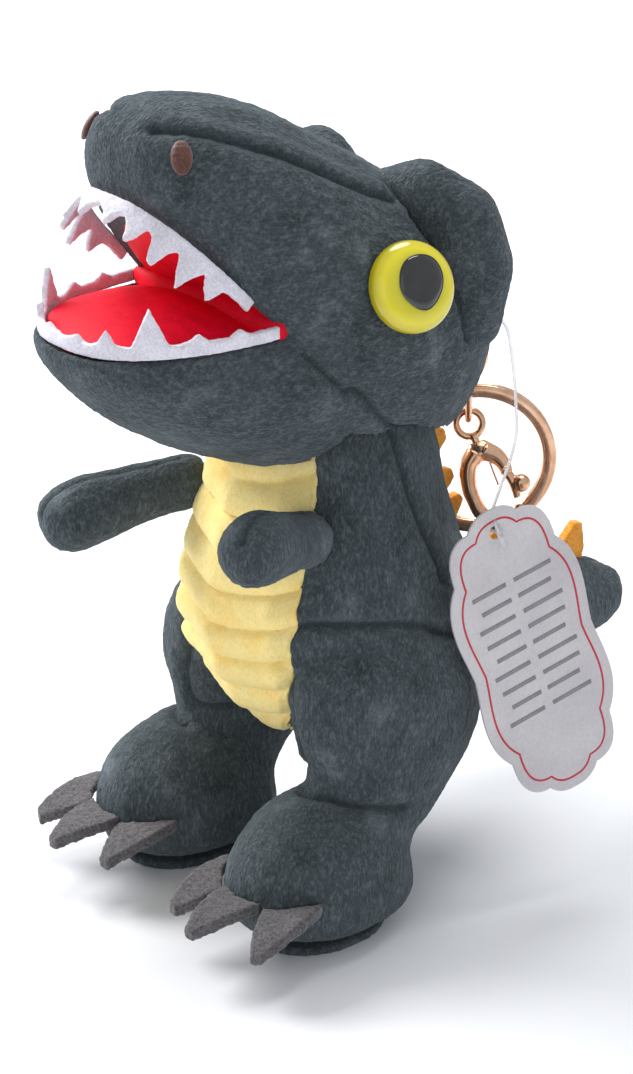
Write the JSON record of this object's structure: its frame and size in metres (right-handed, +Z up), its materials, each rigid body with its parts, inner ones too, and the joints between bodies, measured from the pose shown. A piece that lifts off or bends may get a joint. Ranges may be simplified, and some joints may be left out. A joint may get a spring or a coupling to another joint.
{
  "type": "plush keychain",
  "caption": "Stuffed plush dinosaur bag charm with felt teeth, spikes and claws, hung by a short chain from a split key ring and a lobster clasp, with a hang tag.",
  "frame": {"origin": "on the floor under the middle of the toy's footprint box, cord pieces left out", "axes": "+Z up, -Y the way the toy faces, +X its own left side"},
  "size_m": [0.0765, 0.136, 0.1562],
  "materials": {
    "grey_plush": "short plush",
    "yellow_plush": "ribbed plush",
    "stuffing": "loose fibre",
    "orange_felt": "matt felt",
    "grey_felt": "matt felt",
    "white_felt": "matt felt",
    "red_lining": "smooth knit",
    "brown_thread": "satin stitch",
    "ribbon": "woven",
    "yellow_plastic": "gloss",
    "black_plastic": "gloss",
    "clear_plastic": "translucent",
    "rose_gold": "polished",
    "card": "pearl card"
  },
  "bodies": {
    "torso": {"torso_cover": "grey_plush", "belly_panel": "yellow_plush", "torso_stuffing": "stuffing", "left_leg_cover": "grey_plush", "left_leg_stuffing": "stuffing", "right_leg_cover": "grey_plush", "right_leg_stuffing": "stuffing", "left_sole": "grey_plush", "right_sole": "grey_plush", "left_claw_inner": "grey_felt", "left_claw_middle": "grey_felt", "left_claw_outer": "grey_felt", "right_claw_inner": "grey_felt", "right_claw_middle": "grey_felt", "right_claw_outer": "grey_felt", "back_spike_1": "orange_felt", "back_spike_2": "orange_felt", "back_spike_3": "orange_felt", "back_spike_4": "orange_felt", "back_spike_5": "orange_felt", "back_spike_6": "orange_felt"},
    "head": {"head_cover": "grey_plush", "head_stuffing": "stuffing", "palate_lining": "red_lining", "tongue_lining": "red_lining", "upper_teeth": "white_felt", "lower_teeth": "white_felt", "left_brow": "grey_plush", "right_brow": "grey_plush", "left_nostril": "brown_thread", "right_nostril": "brown_thread", "left_eye": "yellow_plastic", "right_eye": "yellow_plastic", "left_pupil": "black_plastic", "right_pupil": "black_plastic", "left_eye_washer": "clear_plastic", "right_eye_washer": "clear_plastic", "ribbon_loop": "ribbon"},
    "left_arm": {"left_arm_cover": "grey_plush", "left_arm_stuffing": "stuffing"},
    "right_arm": {"right_arm_cover": "grey_plush", "right_arm_stuffing": "stuffing"},
    "upper_link": {"upper_link": "rose_gold"},
    "lower_link": {"lower_link": "rose_gold"},
    "ring": {"key_ring": "rose_gold"},
    "swivel": {"clasp_swivel": "rose_gold"},
    "clasp": {"clasp_body": "rose_gold", "gate_pin": "rose_gold", "gate_spring": "rose_gold"},
    "gate": {"clasp_gate": "rose_gold"},
    "tag": {"hang_tag": "card", "tag_filament": "clear_plastic", "filament_bar": "clear_plastic"}
  },
  "joints": [
    {"name": "head_nod", "type": "hinge", "parent": "torso", "child": "head", "pos_m": [0, -0.0082, 0.091], "axis": [1, 0, 0], "range_deg": [0, 5], "stiffness_Nm_per_rad": 0.35},
    {"name": "left_arm_swing", "type": "hinge", "parent": "torso", "child": "left_arm", "pos_m": [0.0173, -0.0284, 0.077], "axis": [0.8944, 0.4472, 0], "range_deg": [-15, 15], "stiffness_Nm_per_rad": 0.02},
    {"name": "right_arm_swing", "type": "hinge", "parent": "torso", "child": "right_arm", "pos_m": [-0.0173, -0.0284, 0.077], "axis": [0.9527, -0.304, 0], "range_deg": [-15, 15], "stiffness_Nm_per_rad": 0.02},
    {"name": "upper_link_swing", "type": "hinge", "parent": "head", "child": "upper_link", "pos_m": [0, 0.0263, 0.1032], "axis": [0.6429, 0.7659, 0], "range_deg": [0, 13]},
    {"name": "lower_link_swing", "type": "hinge", "parent": "upper_link", "child": "lower_link", "pos_m": [0, 0.0263, 0.09], "axis": [0.6429, 0.7659, 0], "range_deg": [0, 20]},
    {"name": "ring_swing", "type": "hinge", "parent": "lower_link", "child": "ring", "pos_m": [0, 0.0263, 0.08055], "axis": [0.7659, -0.6429, 0], "range_deg": [0, 15]},
    {"name": "clasp_swing", "type": "hinge", "parent": "lower_link", "child": "swivel", "pos_m": [0, 0.0263, 0.08055], "axis": [0.7659, -0.6429, 0], "range_deg": [0, 15]},
    {"name": "clasp_swivel_turn", "type": "hinge", "parent": "swivel", "child": "clasp", "pos_m": [0, 0.0263, 0.08055], "axis": [0.4805, 0.0377, -0.8762], "continuous": true},
    {"name": "gate_opening", "type": "hinge", "parent": "clasp", "child": "gate", "pos_m": [0.00712, 0.02944, 0.07181], "axis": [-0.713, 0.5985, -0.3653], "range_deg": [0, 20], "stiffness_Nm_per_rad": 0.002, "springref_deg": -5.73},
    {"name": "tag_swing", "type": "hinge", "parent": "head", "child": "tag", "pos_m": [0.011, 0.0212, 0.106], "axis": [0, -1, 0], "range_deg": [0, 15]}
  ]
}
